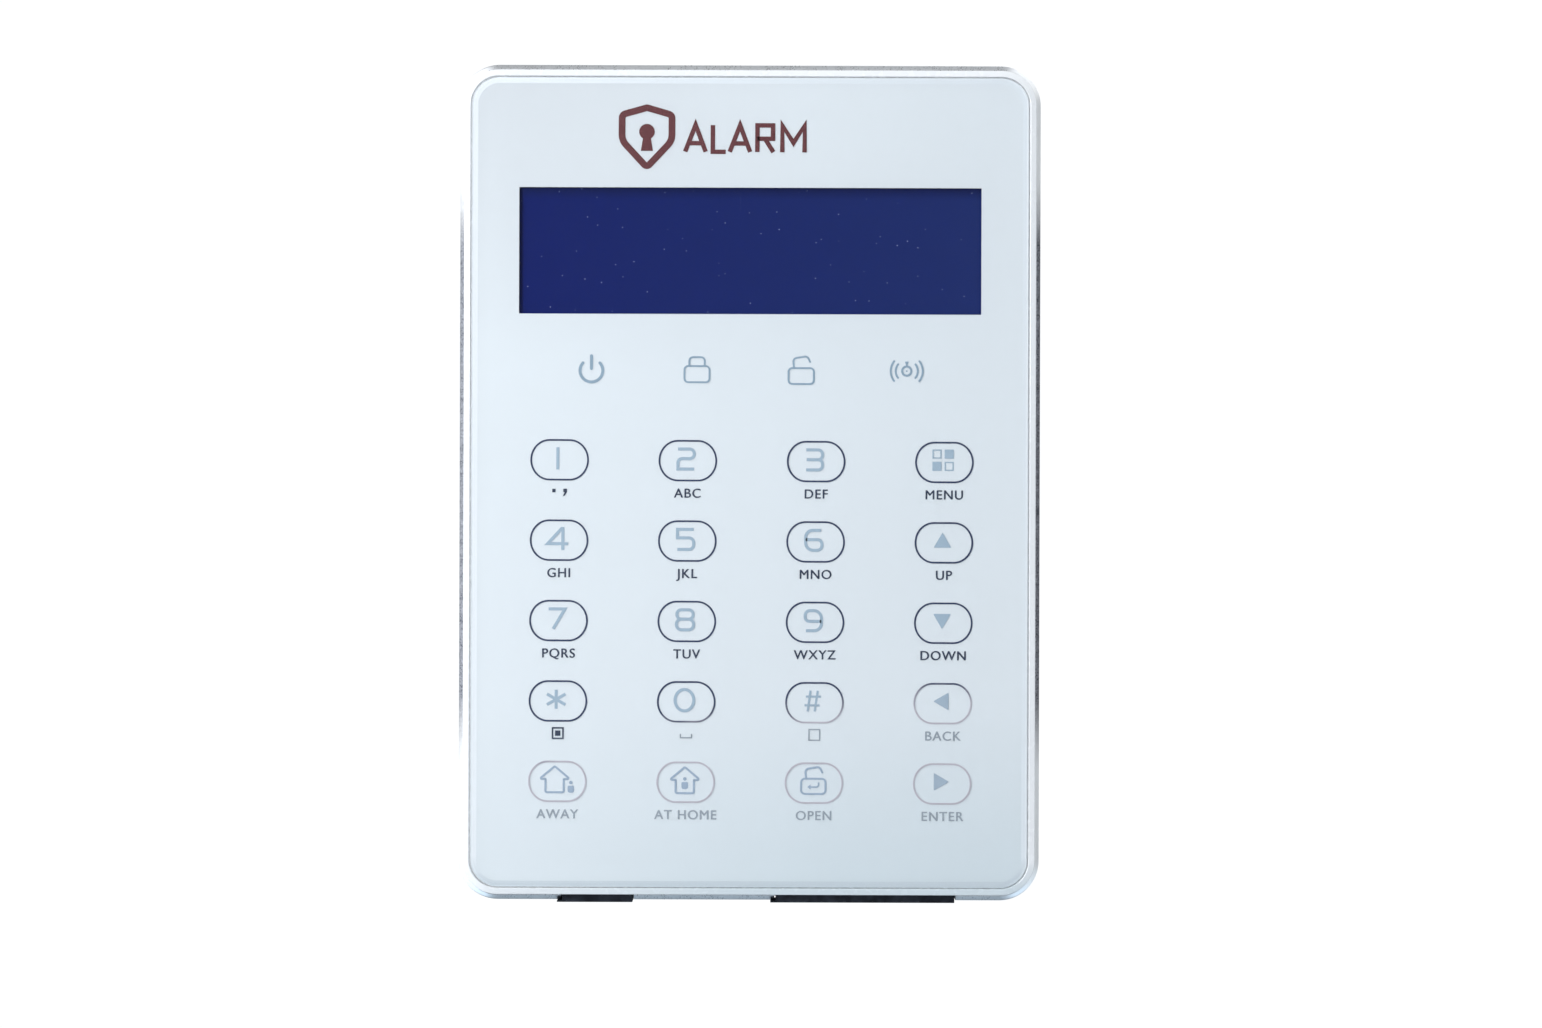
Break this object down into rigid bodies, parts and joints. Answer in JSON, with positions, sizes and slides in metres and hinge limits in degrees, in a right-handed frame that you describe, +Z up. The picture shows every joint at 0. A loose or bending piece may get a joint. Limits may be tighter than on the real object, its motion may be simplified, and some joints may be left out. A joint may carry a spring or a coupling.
{
  "type": "alarm keypad panel",
  "caption": "Wall-mounted alarm keypad with a white glass touch front, blue display window, metal side band, hinged port covers and a hook-on wall bracket.",
  "frame": {"origin": "centre of the wall bracket's flat rear face, on the wall plane", "axes": "+Z up the wall, -Y out of the wall towards the viewer, +X to the viewer's right"},
  "size_m": [0.1306, 0.028, 0.1883],
  "materials": {
    "clear_glass": "polished, ground edge",
    "white_lacquer": "smooth lacquer behind glass",
    "black_foam": "matte foam tape",
    "gloss_white": "gloss moulded",
    "satin_white": "fine spark texture",
    "brushed_aluminium": "brushed along its length",
    "black_rubber": "matte",
    "black_plastic": "matte moulded",
    "display_glass": "dark blue, unlit",
    "milky_acrylic": "translucent white",
    "tin_plate": "tin plated",
    "circuit_board": "solder mask",
    "polyimide": "flexible film",
    "capacitor_sleeve": "shrink sleeve",
    "terminal_green": "moulded",
    "zinc_steel": "zinc plated",
    "spring_steel": "drawn wire",
    "galvanised_steel": "galvanised sheet",
    "led_white": "moulded lamp"
  },
  "bodies": {
    "bracket": {"wall_bracket": "galvanised_steel"},
    "panel": {"glass_panel": "clear_glass", "print_film": "white_lacquer", "glass_tape": "black_foam", "front_frame": "gloss_white", "side_band": "brushed_aluminium", "rear_housing": "satin_white", "case_screw_1": "zinc_steel", "case_screw_2": "zinc_steel", "case_screw_3": "zinc_steel", "case_screw_4": "zinc_steel", "cable_grommet": "black_rubber", "touch_board": "circuit_board", "key_diffuser": "milky_acrylic", "status_led_1": "led_white", "status_led_2": "led_white", "status_led_3": "led_white", "status_led_4": "led_white", "board_socket": "black_plastic", "lcd_bezel": "tin_plate", "lcd_glass": "display_glass", "lcd_backlight": "milky_acrylic", "lcd_board": "circuit_board", "lcd_ribbon": "polyimide", "lcd_screw_1": "zinc_steel", "lcd_screw_2": "zinc_steel", "lcd_screw_3": "zinc_steel", "lcd_screw_4": "zinc_steel", "main_board": "circuit_board", "microcontroller": "black_plastic", "capacitor_large": "capacitor_sleeve", "capacitor_small": "capacitor_sleeve", "buzzer": "black_plastic", "board_header": "black_plastic", "terminal_block": "terminal_green", "terminal_screw_1": "zinc_steel", "terminal_screw_2": "zinc_steel", "terminal_screw_3": "zinc_steel", "terminal_screw_4": "zinc_steel", "terminal_screw_5": "zinc_steel", "terminal_screw_6": "zinc_steel", "terminal_screw_7": "zinc_steel", "terminal_screw_8": "zinc_steel", "power_jack": "black_plastic", "board_screw_1": "zinc_steel", "board_screw_2": "zinc_steel", "board_screw_3": "zinc_steel", "board_screw_4": "zinc_steel", "tamper_switch": "black_plastic", "tamper_spring": "spring_steel"},
    "tamper_plunger": {"tamper_plunger": "milky_acrylic"},
    "power_cover": {"power_port_cover": "black_rubber"},
    "terminal_cover": {"terminal_cover": "black_rubber"}
  },
  "joints": [
    {"name": "panel_lift", "type": "slide", "parent": "bracket", "child": "panel", "axis": [0, 0, 1], "range_m": [0, 0.008]},
    {"name": "tamper_press", "type": "slide", "parent": "panel", "child": "tamper_plunger", "axis": [0, -1, 0], "range_m": [0, 0.0015], "stiffness_N_per_m": 300, "springref_m": -0.002, "deforming": ["tamper_spring"]},
    {"name": "power_cover_hinge", "type": "hinge", "parent": "panel", "child": "power_cover", "pos_m": [-0.0346, -0.011, -0.0935], "axis": [1, 0, 0], "range_deg": [0, 110]},
    {"name": "terminal_cover_hinge", "type": "hinge", "parent": "panel", "child": "terminal_cover", "pos_m": [0.0256, -0.011, -0.0935], "axis": [1, 0, 0], "range_deg": [0, 110]}
  ]
}
